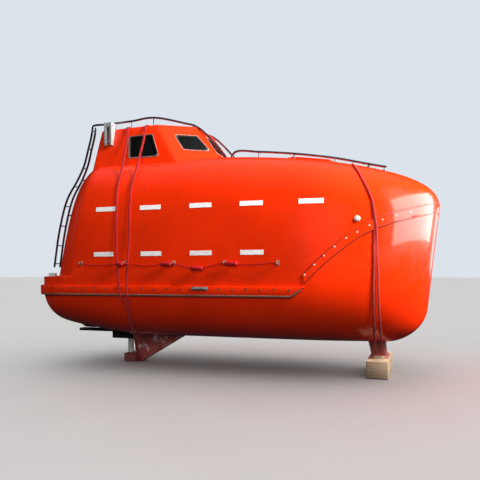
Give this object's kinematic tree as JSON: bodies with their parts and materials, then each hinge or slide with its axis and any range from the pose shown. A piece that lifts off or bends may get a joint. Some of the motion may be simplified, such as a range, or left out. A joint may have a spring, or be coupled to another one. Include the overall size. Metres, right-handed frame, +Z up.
{
  "type": "totally enclosed free-fall lifeboat",
  "caption": "Totally enclosed lifeboat with a raised wheelhouse, aft door, foredeck hatch, steering nozzle and propeller, standing on low rests.",
  "frame": {"origin": "on the ground under the middle of the boat's length and breadth", "axes": "+X towards the bow, +Y to port, +Z up"},
  "size_m": [5.8842, 2.5998, 3.796],
  "materials": {
    "orange_gelcoat": "glossy orange gelcoat",
    "dark_glass": "dark window pane",
    "rail_steel": "satin stainless tube",
    "galvanised": "galvanised, dull",
    "seat_moulding": "moulded seats, matt",
    "black_paint": "black, matt",
    "bronze": "bronze, dull",
    "rest_steel": "worn red oxide paint",
    "red_webbing": "red woven strap and rope",
    "pale_paint": "pale paint, matt",
    "timber": "weathered timber",
    "inner_moulding": "pale inner moulding",
    "black_plastic": "black, matt",
    "engine_paint": "grey engine paint"
  },
  "bodies": {
    "boat": {"hull": "orange_gelcoat", "canopy": "orange_gelcoat", "wheelhouse": "orange_gelcoat", "side_window_starboard": "dark_glass", "quarter_window_starboard": "dark_glass", "front_window": "dark_glass", "quarter_window_port": "dark_glass", "side_window_port": "dark_glass", "rub_rail": "orange_gelcoat", "seam_flange": "orange_gelcoat", "door_frame": "orange_gelcoat", "hatch_coaming": "orange_gelcoat", "stern_rail_starboard": "rail_steel", "roof_rail_starboard": "rail_steel", "deck_rail_starboard": "rail_steel", "lift_bracket_starboard": "galvanised", "bow_boss_starboard": "rail_steel", "cleat_starboard": "galvanised", "seat_bank_starboard": "seat_moulding", "stern_rail_port": "rail_steel", "roof_rail_port": "rail_steel", "deck_rail_port": "rail_steel", "lift_bracket_port": "galvanised", "bow_boss_port": "rail_steel", "cleat_port": "galvanised", "seat_bank_port": "seat_moulding", "skeg": "orange_gelcoat", "shaft_fairing": "black_paint", "stern_rest": "rest_steel", "stern_prop": "pale_paint", "bow_rest": "rest_steel", "bow_sleeper": "timber", "sole": "inner_moulding", "helm_platform": "inner_moulding", "helm_seat": "seat_moulding", "helm_console": "inner_moulding", "steering_wheel": "black_plastic", "engine": "engine_paint", "grab_line_starboard": "red_webbing", "grab_line_port": "red_webbing", "fore_lashing": "red_webbing", "aft_lashing": "red_webbing"},
    "door": {"aft_door": "orange_gelcoat"},
    "lid": {"hatch_lid": "orange_gelcoat"},
    "nozzle": {"steering_nozzle": "black_paint"},
    "screw": {"propeller": "bronze"}
  },
  "joints": [
    {"name": "door_hinge", "type": "hinge", "parent": "boat", "child": "door", "pos_m": [-2.5375, 0.331, 2.0886], "axis": [-0.1914, 0, -0.9815], "range_deg": [0, 110]},
    {"name": "hatch_hinge", "type": "hinge", "parent": "boat", "child": "lid", "pos_m": [0.8533, 0, 3.1174], "axis": [0, -1, 0], "range_deg": [0, 100]},
    {"name": "steering", "type": "hinge", "parent": "boat", "child": "nozzle", "pos_m": [-2.5781, 0, 0.775], "axis": [0, 0, 1], "range_deg": [-32, 32]},
    {"name": "propeller_spin", "type": "hinge", "parent": "boat", "child": "screw", "pos_m": [-2.5781, 0, 0.775], "axis": [1, 0, 0], "continuous": true}
  ]
}
